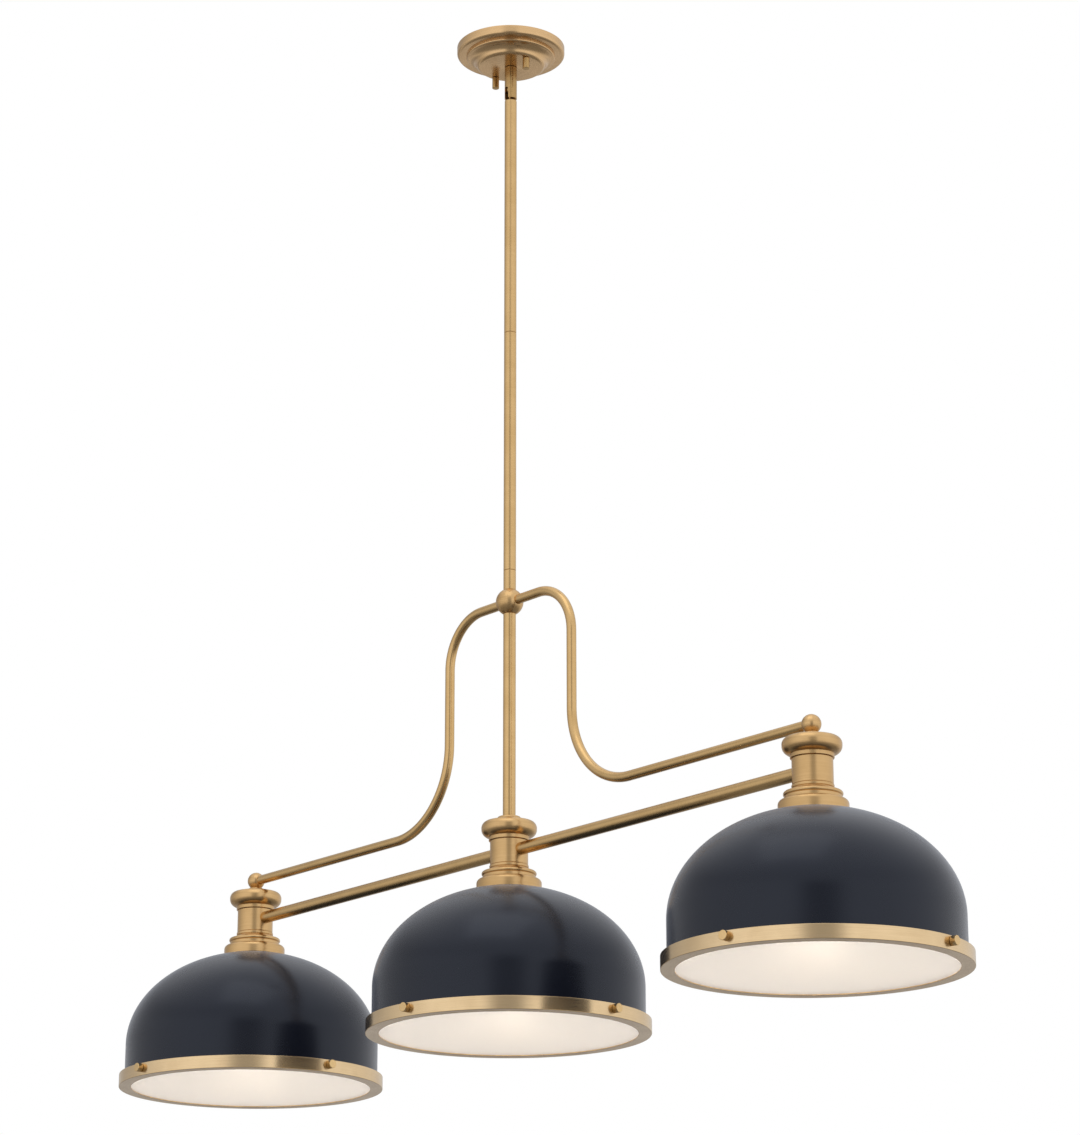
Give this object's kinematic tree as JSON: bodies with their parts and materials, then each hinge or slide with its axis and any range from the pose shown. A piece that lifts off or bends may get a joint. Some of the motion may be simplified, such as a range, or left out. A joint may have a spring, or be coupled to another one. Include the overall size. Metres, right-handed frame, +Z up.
{
  "type": "billiard light",
  "caption": "Billiard light with dark dome shades on a brass bar: opal diffusers in thumb-screwed bands, swept arms to ball finials and a swivel stem under a stepped canopy.",
  "frame": {"origin": "centre of the ceiling face, on the stem's axis", "axes": "+Z up into the ceiling, +X along the bars towards the nearer shade in the picture"},
  "size_m": [1.3553, 0.342, 1.242],
  "materials": {
    "steel": "zinc-plated steel, inside or against the ceiling",
    "canopy_brass": "brushed brass, lacquered",
    "swivel_brass": "turned brass, lacquered",
    "tube_brass": "drawn tube, brushed brass",
    "cast_brass": "turned casting, brushed brass",
    "band_brass": "brushed brass band",
    "screw_brass": "turned brass screw",
    "shade_paint": "satin charcoal paint on spun steel",
    "socket_plastic": "black phenolic",
    "bulb_glass": "frosted glass globe",
    "diffuser_opal": "opal acrylic"
  },
  "bodies": {
    "ceiling": {"mounting_plate": "steel", "plate_studs": "steel", "canopy": "canopy_brass", "swivel_bolt": "steel", "swivel_nut": "steel"},
    "knob_left": {"canopy_knob_left": "canopy_brass"},
    "knob_right": {"canopy_knob_right": "canopy_brass"},
    "swivel": {"swivel_collar": "swivel_brass", "swivel_sleeve": "swivel_brass"},
    "pendant": {"swivel_stud": "swivel_brass", "stem_upper": "tube_brass", "stem_lower": "tube_brass", "stem_short": "tube_brass", "stem_nipples": "steel", "ball_hub": "cast_brass", "centre_rod": "tube_brass", "arm_left": "tube_brass", "arm_right": "tube_brass", "finial_left": "cast_brass", "finial_right": "cast_brass", "bar_left": "tube_brass", "bar_right": "tube_brass", "hub_bolts": "steel", "hub_cap_left": "cast_brass", "hub_body_left": "cast_brass", "hub_base_left": "cast_brass", "shade_left": "shade_paint", "socket_left": "socket_plastic", "hub_cap_centre": "cast_brass", "hub_body_centre": "cast_brass", "hub_base_centre": "cast_brass", "shade_centre": "shade_paint", "socket_centre": "socket_plastic", "hub_cap_right": "cast_brass", "hub_body_right": "cast_brass", "hub_base_right": "cast_brass", "shade_right": "shade_paint", "socket_right": "socket_plastic"},
    "bulb_left": {"bulb_left": "bulb_glass"},
    "band_left": {"band_left": "band_brass", "diffuser_left": "diffuser_opal"},
    "thumbscrew_left_1": {"thumbscrew_left_1": "screw_brass"},
    "thumbscrew_left_2": {"thumbscrew_left_2": "screw_brass"},
    "thumbscrew_left_3": {"thumbscrew_left_3": "screw_brass"},
    "thumbscrew_left_4": {"thumbscrew_left_4": "screw_brass"},
    "bulb_centre": {"bulb_centre": "bulb_glass"},
    "band_centre": {"band_centre": "band_brass", "diffuser_centre": "diffuser_opal"},
    "thumbscrew_centre_1": {"thumbscrew_centre_1": "screw_brass"},
    "thumbscrew_centre_2": {"thumbscrew_centre_2": "screw_brass"},
    "thumbscrew_centre_3": {"thumbscrew_centre_3": "screw_brass"},
    "thumbscrew_centre_4": {"thumbscrew_centre_4": "screw_brass"},
    "bulb_right": {"bulb_right": "bulb_glass"},
    "band_right": {"band_right": "band_brass", "diffuser_right": "diffuser_opal"},
    "thumbscrew_right_1": {"thumbscrew_right_1": "screw_brass"},
    "thumbscrew_right_2": {"thumbscrew_right_2": "screw_brass"},
    "thumbscrew_right_3": {"thumbscrew_right_3": "screw_brass"},
    "thumbscrew_right_4": {"thumbscrew_right_4": "screw_brass"}
  },
  "joints": [
    {"name": "knob_left_turn", "type": "hinge", "parent": "ceiling", "child": "knob_left", "pos_m": [-0.03471, 0.00383, -0.0345], "axis": [0, 0, 1], "continuous": true},
    {"name": "knob_right_turn", "type": "hinge", "parent": "ceiling", "child": "knob_right", "pos_m": [0.03471, -0.00383, -0.0345], "axis": [0, 0, 1], "continuous": true},
    {"name": "swivel_turn", "type": "hinge", "parent": "ceiling", "child": "swivel", "pos_m": [0, 0, -0.035], "axis": [0, 0, 1], "range_deg": [-170, 170]},
    {"name": "stem_tilt", "type": "hinge", "parent": "swivel", "child": "pendant", "pos_m": [0, 0, -0.057], "axis": [-1, 0, 0], "range_deg": [0, 45]},
    {"name": "bulb_left_turn", "type": "hinge", "parent": "pendant", "child": "bulb_left", "pos_m": [-0.508, 0, -1.122], "axis": [0, 0, 1], "continuous": true},
    {"name": "band_left_lower", "type": "slide", "parent": "pendant", "child": "band_left", "axis": [0, 0, -1], "range_m": [0, 0.12]},
    {"name": "thumbscrew_left_1_turn", "type": "hinge", "parent": "band_left", "child": "thumbscrew_left_1", "pos_m": [-0.344, 0, -1.2324], "axis": [1, 0, 0], "continuous": true},
    {"name": "thumbscrew_left_2_turn", "type": "hinge", "parent": "band_left", "child": "thumbscrew_left_2", "pos_m": [-0.508, 0.164, -1.2324], "axis": [0, 1, 0], "continuous": true},
    {"name": "thumbscrew_left_3_turn", "type": "hinge", "parent": "band_left", "child": "thumbscrew_left_3", "pos_m": [-0.672, 0, -1.2324], "axis": [-1, 0, 0], "continuous": true},
    {"name": "thumbscrew_left_4_turn", "type": "hinge", "parent": "band_left", "child": "thumbscrew_left_4", "pos_m": [-0.508, -0.164, -1.2324], "axis": [0, -1, 0], "continuous": true},
    {"name": "bulb_centre_turn", "type": "hinge", "parent": "pendant", "child": "bulb_centre", "pos_m": [0, 0, -1.122], "axis": [0, 0, 1], "continuous": true},
    {"name": "band_centre_lower", "type": "slide", "parent": "pendant", "child": "band_centre", "axis": [0, 0, -1], "range_m": [0, 0.12]},
    {"name": "thumbscrew_centre_1_turn", "type": "hinge", "parent": "band_centre", "child": "thumbscrew_centre_1", "pos_m": [0.16278, 0.01999, -1.2324], "axis": [0.9925, 0.1219, 0], "continuous": true},
    {"name": "thumbscrew_centre_2_turn", "type": "hinge", "parent": "band_centre", "child": "thumbscrew_centre_2", "pos_m": [-0.01999, 0.16278, -1.2324], "axis": [-0.1219, 0.9925, 0], "continuous": true},
    {"name": "thumbscrew_centre_3_turn", "type": "hinge", "parent": "band_centre", "child": "thumbscrew_centre_3", "pos_m": [-0.16278, -0.01999, -1.2324], "axis": [-0.9925, -0.1219, 0], "continuous": true},
    {"name": "thumbscrew_centre_4_turn", "type": "hinge", "parent": "band_centre", "child": "thumbscrew_centre_4", "pos_m": [0.01999, -0.16278, -1.2324], "axis": [0.1219, -0.9925, 0], "continuous": true},
    {"name": "bulb_right_turn", "type": "hinge", "parent": "pendant", "child": "bulb_right", "pos_m": [0.508, 0, -1.122], "axis": [0, 0, 1], "continuous": true},
    {"name": "band_right_lower", "type": "slide", "parent": "pendant", "child": "band_right", "axis": [0, 0, -1], "range_m": [0, 0.12]},
    {"name": "thumbscrew_right_1_turn", "type": "hinge", "parent": "band_right", "child": "thumbscrew_right_1", "pos_m": [0.66842, 0.0341, -1.2324], "axis": [0.9781, 0.2079, 0], "continuous": true},
    {"name": "thumbscrew_right_2_turn", "type": "hinge", "parent": "band_right", "child": "thumbscrew_right_2", "pos_m": [0.4739, 0.16042, -1.2324], "axis": [-0.2079, 0.9781, 0], "continuous": true},
    {"name": "thumbscrew_right_3_turn", "type": "hinge", "parent": "band_right", "child": "thumbscrew_right_3", "pos_m": [0.34758, -0.0341, -1.2324], "axis": [-0.9781, -0.2079, 0], "continuous": true},
    {"name": "thumbscrew_right_4_turn", "type": "hinge", "parent": "band_right", "child": "thumbscrew_right_4", "pos_m": [0.5421, -0.16042, -1.2324], "axis": [0.2079, -0.9781, 0], "continuous": true}
  ]
}
